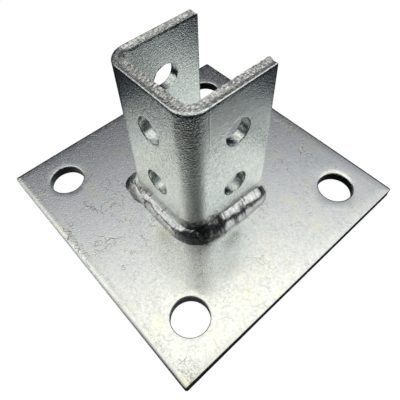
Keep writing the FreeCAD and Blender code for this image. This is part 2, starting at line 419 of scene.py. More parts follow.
# %% [markdown]
# Welding burns the steel round the bead, and plating takes badly on the burnt scale. So the foot
# of the channel is smoky near its front bend, where the welder stopped and restarted. Low on the
# post and on a bead, grey is painted in all along as shade, strongest at the plate.

# %% Smoke left by the welding, and painted shade near the plate
burnt_foot = (post_high.x / MM - 1.5, post_low.y / MM + 3.5, 0.0)
burnt_bead = (post_high.x / MM + 1.5, post_low.y / MM + 8.0, 0.0)
smoke_shift, smoke_patch = 24.0, (2.4, 4.0, 3.1)


def round_spot(tree, place, spot, core, edge):
    """1 up to this far from a spot, 0 from the edge on."""
    away = add_node(tree, "VectorMath", {0: place, 1: spot}, operation="DISTANCE")
    near = {"Value": away, "From Min": edge, "From Max": core}
    return add_node(tree, "MapRange", near, **smooth)


def in_plan(tree, mm):
    return add_node(tree, "VectorMath", {0: mm, 1: (1, 1, 0)}, operation="MULTIPLY")


def smoke(tree, mm, spot, reach, height, strength):
    """How burnt the steel is: most at this spot, gone this far from it and this high."""
    away = {0: in_plan(tree, mm), 1: spot}
    away = add_node(tree, "VectorMath", away, operation="DISTANCE")
    up = add_node(tree, "SeparateXYZ", {0: mm}).outputs["Z"]
    burnt = strength
    for measure, limit, soft in ((away, reach, 4.5), (up, height, 4.0)):
        middle = limit + smoke_shift / 2
        border = (smoke_patch, smoke_shift, middle + soft, middle - soft)
        within = ragged_step(tree, mm, measure, *border, {})
        burnt = add_node(tree, "Math", {0: within, 1: burnt}, operation="MULTIPLY")
    return burnt


def painted_foot_shade(tree, mm, height, strength):
    """Painted shade: this strong near the plate, gone a little above this height."""
    up = add_node(tree, "SeparateXYZ", {0: mm}).outputs["Z"]
    border = ((3.0, 3.0, 8.2), 4.0, height + 3.0, height)
    return ragged_step(tree, mm, up, *border, {"To Max": strength})


print("smoke is thickest at", [round(side, 1) for side in burnt_foot])

# %% [markdown]
# Other marks are spread wider. Rinsing water dries to faint stains, the zinc is hazy where
# spatter fell, and a band along the front edge and round the front corner has painted shade in
# grey specks.

# %% Stains, haze and specks of painted shade
shade_speck_strength = 0.75
edge_steepness = 3.0


def drying_marks(tree, mm):
    return blotches(tree, mm, (12.0, 2.0, 5.5), 0.52, 0.80)


def spatter_haze(tree, mm, spot, reach):
    return round_spot(tree, mm, spot, 0.0, reach)


def painted_shade_specks(tree, mm, corner, reach):
    """Painted shade in grey specks at a corner and the edge along X, not on its rolled rim."""
    away = add_node(tree, "VectorMath", {0: mm, 1: corner}, operation="DISTANCE")
    edge = add_node(tree, "SeparateXYZ", {0: mm}).outputs["Y"]
    edge = add_node(tree, "Math", {0: edge, 1: corner[1]}, operation="SUBTRACT")
    steep = add_node(tree, "Math", {0: edge, 1: edge_steepness}, operation="MULTIPLY")
    near = add_node(tree, "Math", {0: away, 1: steep}, operation="MINIMUM")
    border = ((5.0, 3.0, 12.4), 16.0, reach + 12.0, reach - 2.0)
    near = ragged_step(tree, mm, near, *border, {"To Max": shade_speck_strength})
    inside = {"Value": edge, "From Min": 2.0, "From Max": 3.33}
    inside = add_node(tree, "MapRange", inside, **smooth)
    near = add_node(tree, "Math", {0: near, 1: inside}, operation="MULTIPLY")
    specks = blotches(tree, mm, (0.8, 2.0, 6.6), 0.46, 0.58)
    return add_node(tree, "Math", {0: near, 1: specks}, operation="MULTIPLY")


def handled_more(tree, mm, way, start, end, share):
    """From this share to 1 along a direction, between start and end."""
    along = add_node(tree, "VectorMath", {0: mm, 1: way}, operation="DOT_PRODUCT")
    border = ((25.0, 2.0, 17.2), 60.0, start + 30.0, end + 30.0)
    return ragged_step(tree, mm, along, *border, {"To Min": share})


# A speck of painted shade is at most this share grey.
print("at most", round(shade_speck_strength * 100), "% of the zinc is rubbed off a speck")

# %% [markdown]
# Folding leaves two marks in the relief. The skin that it stretched round each bend turned rough
# like orange peel, and the die rubbed a fine upright line beside the front bend.

# %% Marks of folding
right_flange_from = 20.0


def orange_peel(tree, mm, spot, reach):
    near = round_spot(tree, in_plan(tree, mm), spot, reach * 0.4, reach)
    peel = {0: patches(tree, mm, 0.8, 2.0, 9.9), 1: near}
    return add_node(tree, "Math", peel, operation="MULTIPLY")


def die_rub(tree, mm, line_y, lowest):
    """An upright line on the right flange, at this y, that fades out towards this height."""
    place = add_node(tree, "SeparateXYZ", {0: mm})
    away = {0: place.outputs["Y"], 1: line_y}
    away = add_node(tree, "Math", away, operation="SUBTRACT")
    away = add_node(tree, "Math", {0: away}, operation="ABSOLUTE")
    line = {"Value": away, "From Min": 0.75, "From Max": 0.0}
    line = add_node(tree, "MapRange", line, **smooth)
    high = {"Value": place.outputs["Z"], "From Min": lowest, "From Max": lowest + 25.0}
    high = add_node(tree, "MapRange", high, **smooth)
    right = add_node(tree, "Math", {0: place, 1: right_flange_from}, operation="GREATER_THAN")
    line = add_node(tree, "Math", {0: line, 1: high}, operation="MULTIPLY")
    return add_node(tree, "Math", {0: line, 1: right}, operation="MULTIPLY")


print("the die's line is on the flange right of x =", right_flange_from)

# %% [markdown]
# All the finishes share one build-up: patches of brighter and duller zinc, which also polish
# differently, then the marks that tint or roughen them, over a relief of fine grain, soft waves,
# scratches and dents. Scratches hold a little grime, so they tint the zinc too.

# %% Plating that every surface shares
grime, grime_share = "#5A5A58", 3.5


def plated(
    name, bright, dull, roughness, grain, mottle, wave=0.0, scratch=0.0, dent=0.0, turn=0.0,
    marks=(), pressed=(), handled=None,
):
    """Bright zinc over a surface. grain is (size, depth) of its fine roughness and mottle is
    (size, contrast) of its patches; wave, scratch and dent are depths. All are in mm. A mark is
    (its function, what that needs, its tint or None, added roughness) and a pressed form is
    (its function, what that needs, its depth). handled is what handled_more needs, on a part
    whose relief isn't the same all over."""
    material = bpy.data.materials.new(name)
    tree = new_tree(material)
    place = add_node(tree, "TexCoord").outputs["Object"]
    mm = add_node(tree, "Mapping", {"Vector": place, "Scale": (1 / MM, 1 / MM, 1 / MM)})
    strength = handled_more(tree, mm, *handled) if handled else 1.0

    mottle_size, contrast = mottle
    spots = patches(tree, mm, mottle_size, 5.0, 0.0, turn)
    half = 0.25 / contrast
    share = {"Value": spots, "From Min": 0.5 - half, "From Max": 0.5 + half}
    tints = {"Factor": add_node(tree, "MapRange", share), "A": linear(dull), "B": linear(bright)}
    tone = add_node(tree, "Mix", tints, data_type="RGBA")
    polish = {"Value": spots, "From Min": 0.3, "From Max": 0.7}
    polish = {**polish, "To Min": roughness * 1.4, "To Max": roughness * 0.6}
    polish = add_node(tree, "MapRange", polish)

    tinted = []
    for mark, needs, tint, rougher in marks:
        mask = mark(tree, mm, *needs)
        if tint:
            tinted.append((mask, tint))
        if rougher:
            polish = {0: mask, 1: rougher, 2: polish}
            polish = add_node(tree, "Math", polish, operation="MULTIPLY_ADD")
    scratches = [hairs(tree, mm, *hair) for hair in hair_sizes] if scratch else []
    for line in scratches:
        grimy = add_node(tree, "Math", {0: line, 1: strength}, operation="MULTIPLY")
        grimy = add_node(tree, "Math", {0: grimy, 1: scratch * grime_share}, operation="MULTIPLY")
        tinted.append((grimy, grime))
    for mask, tint in tinted:
        tints = {"Factor": mask, "A": tone, "B": linear(tint)}
        tone = add_node(tree, "Mix", tints, data_type="RGBA")

    grain_size, grain_depth = grain
    shapes = [(patches(tree, mm, grain_size, 3.0, 1.7), grain_depth)]
    if wave:
        shapes.append((patches(tree, mm, 9.0, 1.0, 2.3), wave))
    shapes += [(line, -scratch) for line in scratches]
    if dent:
        shapes += [(dents(tree, mm, *hollow), -dent) for hollow in dent_sizes]
    shapes += [(form(tree, mm, *needs), depth) for form, needs, depth in pressed]
    relief = 0.0
    for shape, depth in shapes:
        relief = {0: shape, 1: depth, 2: relief}
        relief = add_node(tree, "Math", relief, operation="MULTIPLY_ADD")
    bump = add_node(tree, "Bump", {"Height": relief, "Distance": MM, "Strength": strength})
    surface = {"Base Color": tone, "Metallic": 1.0, "Roughness": polish, "Normal": bump}
    metal = add_node(tree, "BsdfPrincipled", surface)
    add_node(tree, "OutputMaterial", {"Surface": metal})
    return material


print("scratches hold", grime, "grime")

# %% [markdown]
# ### Anchor plate
# The plate has three surfaces. Its skins are as the hot mill left them, its four edges are torn
# by the shear, and its bores are coloured near black as painted shade. Near the weld the zinc is
# hazy from spatter, and along the front edge and round the front corner it has grey specks of
# painted shade.

# %% Finishes of the anchor plate
front_corner = (plate_high.x / MM, plate_low.y / MM, plate_high.z / MM)
before_weld = (burnt_foot[0], burnt_foot[1] - 4.0, plate_high.z / MM)
# Hot-rolled bar is pickled before plating, which leaves it finely pitted: a soft mirror with
# grain, and with hair scratches. The relief is faint on the right and full on the left, where
# the plate was handled most. The real grain is finer than a tenth of this; drawn that fine it
# would vanish.
hot_rolled_plate = plated(
    "zinc_plated_hot_rolled_plate", "#FAFAF6", "#DFE1E5", 0.22, (0.8, 0.07), (1.3, 0.8),
    wave=0.02, scratch=0.10, dent=0.045, handled=((-0.95, 0.15, 0.0), -45.0, 20.0, 0.28),
    marks=[
        (drying_marks, (), "#F7F3E4", 0.0),
        # painted shade: grey specks along the front edge and round the front corner
        (painted_shade_specks, (front_corner, 12.0), "#7C7C7E", 0.0),
        (spatter_haze, (before_weld, 25.2), None, 0.10),
    ],
)
# Sheared through 6 mm of steel: torn in bands that run with the cut.
plate_edge = plated(
    "zinc_plated_plate_edge", "#F6F6F3", "#D0D0CE", 0.30, (0.9, 0.10), ((0.7, 3.0, 1.2), 0.7),
    turn=35.0,
)
# The punched wall of a bore is coloured near black: painted shade inside the hole.
anchor_bore_painted_shade = plated(
    "zinc_plated_anchor_bore", "#161719", "#0A0B0C", 0.40, (0.8, 0.08), (2.0, 0.8)
)

# %% [markdown]
# ### Channel
# The channel starts as cold-rolled sheet, so its faces mirror far better than the plate. What
# was cut shows differently: a shear tears the top edge into coarse bright facets, and a punch
# burnishes the walls of the bolt holes.

# %% Finishes of the channel
# the grey of the painted shade low on the channel and the beads, and the colour of burnt scale
foot_shade_grey, burnt_scale = "#4A4B4D", "#2E2C29"
left_corner, right_corner = [
    (side / MM, post_low.y / MM, 0.0) for side in (post_low.x, post_high.x)
]
# Cold-rolled sheet is smoother and takes the brightest zinc, with the faint green of the clear
# chromate; the folding has roughened its skin a little.
cold_rolled_sheet = plated(
    "zinc_plated_cold_rolled_sheet", "#F8FDFC", "#DAE3E0", 0.15, (0.8, 0.19), (0.9, 1.9),
    wave=0.015, scratch=0.015, dent=0.05,
    marks=[
        # painted shade low on the wall, strongest at the plate
        (painted_foot_shade, (20.0, 0.28), foot_shade_grey, 0.0),
        (smoke, (burnt_foot, 9.5, 21.0, 0.85), burnt_scale, 0.10),
    ],
    pressed=[
        (orange_peel, (left_corner, 10.0), 0.30),
        (orange_peel, (right_corner, 10.0), 0.30),
        (die_rub, (-17.2, 58.0), 0.10),
    ],
)
# The torn part of the cut ends: coarse and glittering, each facet mirroring its own way.
sheared_edge = plated(
    "zinc_plated_sheared_edge", "#FFFFFA", "#A9AAAD", 0.33, (1.0, 0.42), ((0.8, 1.6, 1.0), 3.2),
    dent=0.04, turn=35.0,
)
# The bolt holes are punched through thinner steel, so their walls are burnished bright.
bolt_bore = plated(
    "zinc_plated_bolt_bore", "#F6F9F7", "#BCC2BF", 0.16, (0.8, 0.10), ((0.6, 0.6, 3.0), 1.2)
)

# %% [markdown]
# ### Weld
# A bead is cast, not cut. Its skin froze from the liquid, and the zinc on it shines like a
# mirror that has been pulled out of shape. Low on it, near the plate, grey is painted in as shade.

# %% Finish of the weld
# Frozen pools are smooth glassy metal, the shiniest surface of the part once it is plated.
weld_metal = plated(
    "zinc_plated_weld_metal", "#F8F8F5", "#D0D3D6", 0.21, (1.1, 0.08), (1.6, 1.2), dent=0.04,
    marks=[
        # painted shade on the bead's lower part, near the plate
        (painted_foot_shade, (9.0, 0.45), foot_shade_grey, 0.0),
        (smoke, (burnt_bead, 7.5, 40.0, 0.82), burnt_scale, 0.10),
    ],
)
print("materials:", [material.name for material in bpy.data.materials])

# %% [markdown]
# ## A sheet with punched holes
# Plate and channel are both flat steel: cut on a shear, punched, and the channel then folded. A
# shear and a punch leave the same edge. Where the tool enters, the skin is drawn down in a soft
# roll; below it is a polished band, then the metal tears, and a ragged burr stands on the far
# side. So one builder makes both pieces. It meshes the sheet flat, with rings of points round
# every edge for that profile, and places each point on the finished piece at the end.

# %% The edge that a shear or a punch leaves
roll_turns = [math.radians(angle) for angle in (0, 22, 42, 60, 76, 90)]
polished_band = 0.36
tear_depth = 0.045 * MM
tear_length = 2.6 * MM
streak_width = 0.70 * MM
burr_height, burr_length = 0.35 * MM, 1.1 * MM


def torn(u, v, share, lean, seed):
    """How far the wall of a cut stands out, this share of the way through the sheet: it drops
    over the polished band and rises over the torn part, by the two amounts in lean."""
    drop, rise = lean
    streak = noise.noise(Vector((u / streak_width, v / streak_width, share * 1.5 + seed)))
    tear = noise.noise(Vector((u / tear_length, v / tear_length, share * 3 + seed * 7)))
    torn_share = max(0.0, share - polished_band) / (1 - polished_band)
    depth = min(1.0, torn_share * 4) * tear_depth
    tilt = rise * torn_share - drop * min(1.0, share / polished_band)
    return depth * (0.8 * streak + tear) + tilt


def burr(point, outward, seed):
    """Height of the ragged fin on the far side of a cut, which is worn off the corners."""
    if seed == 0 and max(abs(outward.x), abs(outward.y)) < 0.999:
        return 0.0
    ragged = noise.noise(Vector((point.x / burr_length, point.y / burr_length, seed)))
    return burr_height * max(0.0, 0.45 + ragged)


print("a cut is polished for", round(polished_band * 100), "% of its depth")


# %% [markdown]
# An edge is kept as a loop of points, each with the direction that leads out of the metal. The
# outline runs anticlockwise and so does each hole, where outwards means towards its middle.

# %% Loops of points round an edge
corner_steps = 6


def side_points(start, end, spacing):
    """Points from start up to, but without, end."""
    count = max(1, round((end - start).length / spacing))
    return [start.lerp(end, step / count) for step in range(count)]


def outline_loop(low, high, corner, spacings):
    """A rectangle with rounded corners as (point, outward) pairs, anticlockwise from the lower
    side. spacings are those of the lower, right, upper and left sides."""
    centres = (
        (Vector((high.x - corner, low.y + corner)), -90),
        (Vector((high.x - corner, high.y - corner)), 0),
        (Vector((low.x + corner, high.y - corner)), 90),
        (Vector((low.x + corner, low.y + corner)), 180),
    )
    normals = (Vector((0, -1)), Vector((1, 0)), Vector((0, 1)), Vector((-1, 0)))
    loop = []
    for side in range(4):
        before = centres[side - 1][0] + normals[side] * corner
        after = centres[side][0] + normals[side] * corner
        loop += [(point, normals[side]) for point in side_points(before, after, spacings[side])]
        centre, first = centres[side]
        for step in range(corner_steps):
            angle = math.radians(first + 90 * step / corner_steps)
            outward = Vector((math.cos(angle), math.sin(angle)))
            loop.append((centre + outward * corner, outward))
    return loop


def hole_loop(centre, radius, count):
    """A round hole as (point, outward) pairs; outward of the metal is towards its middle."""
    loop = []
    for step in range(count):
        angle = 2 * math.pi * step / count
        ray = Vector((math.cos(angle), math.sin(angle)))
        loop.append((centre + ray * radius, -ray))
    return loop


print("loops run anticlockwise")


# %% [markdown]
# Round every loop lie rings of points that carry the rolled skin. The rings near the outline are
# squeezed together at its corners, so the roll can differ from side to side.

# %% Rings of points for the rolled skin
def loop_box(loop):
    us = [point.x for point, _ in loop]
    vs = [point.y for point, _ in loop]
    return Vector((min(us), min(vs))), Vector((max(us), max(vs)))


def outline_roll(point, outward, low, high, roll):
    """How far in the roll starts and how deep it is, at a point of the outline, eased between
    the rolls of the sides that meet at a corner."""
    across = (point.x - low.x) / (high.x - low.x)
    along = (point.y - low.y) / (high.y - low.y)
    sides = ((0, -1), (1, 0), (0, 1), (-1, 0))
    lower, right, upper, left = (roll(0, point, Vector(side)) for side in sides)
    inset_u = right[0] * across - left[0] * (1 - across)
    inset_v = upper[0] * along - lower[0] * (1 - along)
    sideways = right if outward.x > 0 else left
    upright = upper if outward.y > 0 else lower
    depth = sideways[1] * outward.x**2 + upright[1] * outward.y**2
    return Vector((inset_u, inset_v)), depth


def edge_rings(loops, roll, wall):
    """The rings' points, how deep the front and the back skin are there, the edges that join
    them, and which point starts each loop's rim."""
    points, front, back, edges, rims = [], [], [], [], []
    low, high = loop_box(loops[0])
    for number, loop in enumerate(loops):
        for turn in roll_turns:
            first = len(points)
            for point, outward in loop:
                if number == 0:
                    inset, height = outline_roll(point, outward, low, high, roll)
                else:
                    width, height = roll(number, point, outward)
                    inset = outward * width
                points.append(point - inset * (1 - math.sin(turn)))
                front.append(height * (1 - math.cos(turn)))
                fin = burr(point, outward, number) if turn == roll_turns[-1] else 0.0
                back.append(wall + fin)
            count = len(loop)
            edges += [(first + i, first + (i + 1) % count) for i in range(count)]
        rims.append(first)
    return points, front, back, edges, rims


print("a rolled skin has", len(roll_turns), "rings")

# %% [markdown]
# The flat metal between the rings gets an even grid of points, and all of it is filled with
# triangles. What lies inside a hole is taken out again.

# %% The flat metal between the rings
def steps_between(low, high, spacing):
    count = round((high - low) / spacing)
    return [low + (high - low) * step / count for step in range(1, count)]


def clear_of(spot, number, loop, roll, clear):
    """Whether a spot stands clear of a loop's innermost ring."""
    low, high = loop_box(loop)
    room = max(roll(number, point, outward)[0] for point, outward in loop[::7]) + clear
    if number == 0:
        return low.x + room < spot.x < high.x - room and low.y + room < spot.y < high.y - room
    return (spot - (low + high) / 2).length > (high.x - low.x) / 2 + room


def flat_spots(loops, roll, spacing):
    low, high = loop_box(loops[0])
    clear = spacing[0] * 0.6
    across = steps_between(low.x, high.x, spacing[0])
    along = steps_between(low.y, high.y, spacing[1])
    spots = [Vector((u, v)) for u in across for v in along]
    for number, loop in enumerate(loops):
        spots = [spot for spot in spots if clear_of(spot, number, loop, roll, clear)]
    return spots


def in_a_hole(spot, loops):
    for loop in loops[1:]:
        low, high = loop_box(loop)
        if (spot - (low + high) / 2).length < (high.x - low.x) / 2 - 0.02 * MM:
            return True
    return False


def skin_triangles(points, edges, loops):
    """Triangles between all the points that leave the holes open."""
    filled = geometry.delaunay_2d_cdt([point / MM for point in points], edges, [], 0, 1e-6)
    source = [inputs[0] for inputs in filled[3]]
    triangles = []
    for a, b, c in filled[2]:
        corners = (source[a], source[b], source[c])
        middle = sum((points[i] for i in corners), Vector((0, 0))) / 3
        if not in_a_hole(middle, loops):
            triangles.append(corners)
    return triangles


print("the flat metal is filled with triangles")

# %% [markdown]
# The builder makes the front skin, the same again for the back, and rows of faces down every cut
# wall between them. The first material is the skin's, the second the sheared edge's and the
# third the punched holes'.

# %% Build a sheet from its loops
skin_slot, edge_slot, hole_slot = 0, 1, 2


def add_piece(name, points, faces, slots, crease, *materials):
    """An object with soft shading that turns sharp where faces meet at more than this angle."""
    piece = add_object(name, points, faces, *materials)
    piece.data.polygons.foreach_set("material_index", slots)
    piece.data.polygons.foreach_set("use_smooth", [True] * len(faces))
    piece.data.validate()
    piece.data.set_sharp_from_angle(angle=math.radians(crease))
    print(name, "has", len(faces), "faces")
    return piece


def build_sheet(name, loops, roll, slope, place, wall, spacing, rows, materials):
    """loops is the outline and then each hole. roll(loop, point, outward) is the (width, height)
    of the rolled skin there, slope(loop, point, outward) how far the cut wall drops and rises,
    and place(u, v, depth) puts a point of the flat sheet, this far under its front skin, on
    the finished piece."""
    points, front, back, edges, rims = edge_rings(loops, roll, wall)
    spots = flat_spots(loops, roll, spacing)
    points += spots
    front += [0.0] * len(spots)
    back += [wall] * len(spots)
    count = len(points)
    vertices = [place(p.x, p.y, depth) for p, depth in zip(points * 2, front + back)]
    faces = skin_triangles(points, edges, loops)
    faces += [(count + c, count + b, count + a) for a, b, c in faces]
    slots = [skin_slot] * len(faces)

    for number, (loop, rim) in enumerate(zip(loops, rims)):
        above = list(range(rim, rim + len(loop)))
        for row in range(1, rows + 1):
            share = row / rows
            below = []
            for i, (point, outward) in enumerate(loop, rim):
                lean = slope(number, point, outward)
                spot = point + outward * torn(point.x, point.y, share, lean, number)
                spot = place(spot.x, spot.y, front[i] + (back[i] - front[i]) * share)
                if row == rows:
                    below.append(count + i)
                    vertices[count + i] = spot
                else:
                    below.append(len(vertices))
                    vertices.append(spot)
            for i in range(len(loop)):
                j = (i + 1) % len(loop)
                quad = (above[i], below[i], below[j], above[j])
                faces.append(quad if number == 0 else quad[::-1])
                slots.append(edge_slot if number == 0 else hole_slot)
            above = below
    return add_piece(name, vertices, faces, slots, 50, *materials)


print("sheets are meshed flat and then placed")

# %% [markdown]
# ## Anchor plate
# A square of 6 mm hot-rolled flat bar. Its four anchor holes were punched from above, which drew
# the skin down round them.

# %% Make the anchor plate
plate_corner = 1.0 * MM
anchor = mounts["anchor_holes"]["dims"]
anchor_radius = anchor["hole_r_mm"] * MM
anchor_reach = anchor["spacing_x_mm"] / 2 * MM
plate_top = plate_high.z
plate_wall = plate_high.z - plate_low.z

plate_loops = [outline_loop(plate_low.xy, plate_high.xy, plate_corner, (0.6 * MM,) * 4)]
for x in (-anchor_reach, anchor_reach):
    for y in (-anchor_reach, anchor_reach):
        plate_loops.append(hole_loop(Vector((x, y)), anchor_radius, 96))


front_roll = (2.4 * MM, 0.75 * MM)
right_roll = (0.4 * MM, 0.35 * MM)
other_roll = (1.5 * MM, 0.6 * MM)
hole_roll, deep_roll, crescent = (0.5, 0.4), (0.4, 0.3), (2.6, 0.2)
back_right_hole = 4
front_way = Vector((0.5, -0.86))


def plate_rolled(number, point, outward):
    """The shear drew the front edge down in a wide soft roll. Round the holes the skin sank
    most at the far side of the back right one, which leaves a wide crescent there."""
    if number == 0:
        if outward.y < -0.5:
            return front_roll
        return right_roll if outward.x > 0.5 else other_roll
    facing_front = max(0.0, outward.dot(front_way))
    deep = 1.0 if number == back_right_hole else 0.1
    width = hole_roll[0] + deep * (deep_roll[0] + crescent[0] * facing_front**2)
    depth = hole_roll[1] + deep * (deep_roll[1] + crescent[1] * facing_front)
    return (width * MM, depth * MM)


undercut = 0.15 * MM
right_edge_twist = 0.004


def plate_slope(number, point, outward):
    """The right edge breaks out a little at its front end and was cut under at its back."""
    on_right_edge = number == 0 and outward.x > 0.9
    return (0.0, -undercut - (right_edge_twist * point.y if on_right_edge else 0.0))


droop = 0.25 * MM
flat_reach = 38 * MM


def plate_place(u, v, depth):
    """The shear bent the plate's rim down by a hair, which darkens it in the reflections. The
    burrs underneath were filed off, so that the plate lies flat."""
    depth = min(depth, plate_wall)
    past = sum(max(0.0, abs(side) - flat_reach) ** 2 for side in (u, v))
    sink = droop * past / (plate_high.x - flat_reach) ** 2 * (1 - depth / plate_wall)
    return Vector((u, v, plate_top - depth - sink))


plate_materials = (hot_rolled_plate, plate_edge, anchor_bore_painted_shade)
plate = build_sheet(
    "anchor_plate", plate_loops, plate_rolled, plate_slope, plate_place, plate_wall,
    spacing=(3 * MM, 3 * MM), rows=10, materials=plate_materials,
)
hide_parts("base_plate")
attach(plate, "root")

# %% [markdown]
# ## Folded channel
# The post is one strip of 5 mm sheet, punched flat and then folded twice into a U. Its flat
# pattern runs from the left flange's end, round the web, to the right flange's end. That length
# along its foot is also how the weld beads are placed, so one function turns it into a place on
# the plate.

# %% Sizes of the channel
wall = 5.0 * MM
bend_radius = 9.75 * MM
post_middle, half_width = (post_low.x + post_high.x) / 2, (post_high.x - post_low.x) / 2
web_face, flange_end = post_low.y, post_high.y
bend_line, half_straight = web_face + bend_radius, half_width - bend_radius

flange_straight = flange_end - bend_line
bend_arc = bend_radius * math.pi / 2
web_start = flange_straight + bend_arc
foot_length = 2 * (web_start + half_straight)


def foot_place(distance, out):
    """The point this far along the channel's foot and this far out from its face, in plan. Both
    halves are alike, so each is measured from its own flange's end."""
    side = -1 if distance < foot_length / 2 else 1
    from_end = min(distance, foot_length - distance)
    if from_end < flange_straight:
        away, y = half_width + out, flange_end - from_end
    elif from_end < web_start:
        turn = (from_end - flange_straight) / bend_radius
        reach = bend_radius + out
        away, y = half_straight + reach * math.cos(turn), bend_line - reach * math.sin(turn)
    else:
        away, y = half_straight + web_start - from_end, web_face - out
    return post_middle + side * away, y


print("the strip is", round(foot_length / MM, 1), "mm long along its outside")

# %% [markdown]
# The channel is made flat, like the real one, with a pair of bolt holes in the web and in each
# flange. Only then is each point carried round the bends. Folding draws the outside of a bend
# down at the cut end and swells its inside, which is why the top catches the light so brightly
# at the front bend.

# %% Make the channel
post_height = post_high.z - plate_top
bolt = mounts["right_flange_holes"]
bolt_radius = bolt["dims"]["hole_r_mm"] * MM
bolt_heights = [
    bolt["pos_m"][2] - plate_top + side * bolt["dims"]["spacing_y_mm"] / 2 * MM for side in (-1, 1)
]
bolt_from_end = flange_end - bolt["pos_m"][1]
web_bolt = foot_length / 2 + mounts["web_holes"]["pos_m"][0] - post_middle
bolt_distances = (bolt_from_end, web_bolt, foot_length - bolt_from_end)
strip_corner = 0.7 * MM
side_spacings = (1.0 * MM, 0.8 * MM, 0.4 * MM, 0.8 * MM)
strip_end = Vector((foot_length, post_height))
post_loops = [outline_loop(Vector((0, 0)), strip_end, strip_corner, side_spacings)]
for distance in bolt_distances:
    for height in bolt_heights:
        post_loops.append(hole_loop(Vector((distance, height)), bolt_radius, 80))


bend_middle = flange_straight + bend_arc / 2
near_bend_middle = foot_length - bend_middle
pulled_reach = 6.5 * MM


def bent(distance):
    """1 in the middle of a bend, fading to 0 on the flats beside it."""
    away = abs(min(distance, foot_length - distance) - bend_middle)
    return math.exp(-((away / pulled_reach) ** 2))


def post_rolled(number, point, outward):
    """Folding stretches the outside of a bend, so the top edge sinks there in a wide slope."""
    if number > 0:
        return (0.4 * MM, 0.3 * MM)
    if outward.y < -0.5:
        return (0.1 * MM, 0.02 * MM)
    if outward.y > 0.5:
        pull = bent(point.x)
        return ((0.6 + 0.4 * pull) * MM, (0.6 + 1.3 * pull) * MM)
    return (0.4 * MM, 0.35 * MM)


groove_drop, left_drop, near_drop = 0.20, 0.65, -0.38
groove_rise, left_rise, near_rise = 0.80, -1.25, -0.35


def post_slope(number, point, outward):
    """The cut was not square: the left flange's top leans inwards, the other two have a shallow
    groove along the polished band, and the front bend swells where folding squeezed it."""
    if number > 0 or outward.y < 0.5:
        return (0.0, -0.1 * MM)
    left = 1 - eased(point.x, flange_straight - 3 * MM, bend_middle)
    near = max(0.0, 1 - abs(point.x - near_bend_middle) / bend_arc)
    drop = groove_drop + left_drop * left + near_drop * near
    rise = groove_rise + left_rise * left + near_rise * near
    return (drop * MM, rise * MM)


def post_place(u, v, depth):
    x, y = foot_place(u, -depth)
    return Vector((x, y, plate_top + v))


post_materials = (cold_rolled_sheet, sheared_edge, bolt_bore)
post = build_sheet(
    "folded_channel", post_loops, post_rolled, post_slope, post_place, wall,
    spacing=(1.2 * MM, 2.4 * MM), rows=14, materials=post_materials,
)
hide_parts("post_channel")
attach(post, "root")

# %% [markdown]
# ## Weld beads
# The channel is held by fillet beads laid by hand round its foot. A bead is a row of frozen
# pools: its skin bulges from the wall to the plate and carries crescent ripples. On this one the
# pool flared up the left bend as it was started, ran on as a bright even strip under the web,
# and was burnt and lumpy where it was stopped and restarted at the front bend. A mesh that is
# swept along the foot gives all of that: each cross-section is a curve between its two toes, and
# ripples, lumps and folds are added as height on it.

# %% How wide each bead is along its way
# share of the way, reach on the plate and on the wall in mm, then how full the bulge is
left_flange_sizes = (
    (0.00, 4.4, 9.0, 0.95, 0.60),
    (0.30, 5.2, 8.4, 0.95, 0.60),
    (0.65, 5.0, 8.8, 0.90, 0.58),
    (1.00, 6.4, 10.5, 0.45, 0.40),
)
web_sizes = (
    (0.00, 6.4, 10.5, 0.45, 0.40),
    (0.14, 9.4, 15.5, 0.30, 0.32),
    (0.24, 6.4, 9.6, 0.42, 0.42),
    (0.38, 4.9, 7.0, 0.80, 0.74),
    (0.60, 5.0, 7.0, 0.92, 0.84),
    (0.80, 5.0, 7.4, 0.92, 0.84),
    (0.93, 4.2, 8.4, 0.90, 0.70),
    (1.00, 4.0, 9.4, 0.88, 0.64),
)
right_flange_sizes = (
    (0.00, 4.0, 9.4, 0.88, 0.64),
    (0.12, 4.2, 10.8, 0.88, 0.70),
    (0.32, 5.6, 10.6, 0.90, 0.76),
    (0.60, 6.3, 9.4, 0.92, 0.80),
    (0.85, 6.3, 8.4, 0.92, 0.84),
    (1.00, 6.0, 7.2, 0.92, 0.86),
)
past_end = 3.6
left_stop, right_stop = 38.75, 95.63
nose_length = 9.0
print("the web's bead is", round(right_stop - left_stop, 1), "mm long")

# %% [markdown]
# A hand-laid bead is never quite even. Where the welder's hand paused, the pool ran over itself
# and left a fold, and where it hurried there is a groove. The ones that can be seen in the
# photograph are listed with where they start and end.

# %% Ridges and folds on the beads, from one spot to another
# distance along the foot in mm and share of the way from wall to plate, for both ends of the
# ridge; then its half width and height in mm. A negative height is a groove.
folds = (
    (39.5, 0.94, 51.0, 0.97, 0.5, 0.35),
    (48.5, 0.35, 61.0, 0.66, 0.5, 0.45),
    (50.0, 0.06, 61.5, 0.10, 0.45, 0.40),
    (62.0, 0.10, 86.0, 0.10, 0.4, -0.35),
    (73.5, 0.02, 88.0, 0.02, 0.5, 0.50),
    (47.0, 0.62, 47.6, 0.64, 0.7, 0.35),
    (49.6, 0.55, 50.2, 0.58, 0.6, 0.35),
    (61.5, 0.80, 62.5, 0.84, 0.5, 0.30),
    (97.4, 0.30, 99.0, 0.55, 0.45, 0.45),
    (100.5, 0.45, 102.5, 0.60, 0.6, 0.40),
)


def fold_height(distance, across, length):
    """Height in mm that the ridges add at this spot of a bead whose skin is this long."""
    spot = Vector((distance, across * length))
    height = 0.0
    for start, start_share, end, end_share, width, lift in folds:
        if not start - 3 < distance < end + 3:
            continue
        first = Vector((start, start_share * length))
        along = Vector((end, end_share * length)) - first
        share = max(0.0, min(1.0, (spot - first).dot(along) / along.length_squared))
        away = (spot - first - along * share).length / width
        height += lift * math.exp(-away * away)
    return height


print("the beads carry", len(folds), "folds and grooves")

# %% [markdown]
# Each cross-section of a bead is one smooth curve between its toes on the wall and on the
# plate. Both toes reach a little into the steel, so no gap shows however uneven the bead is.
# Its ripples and lumps are added as height on that curve.

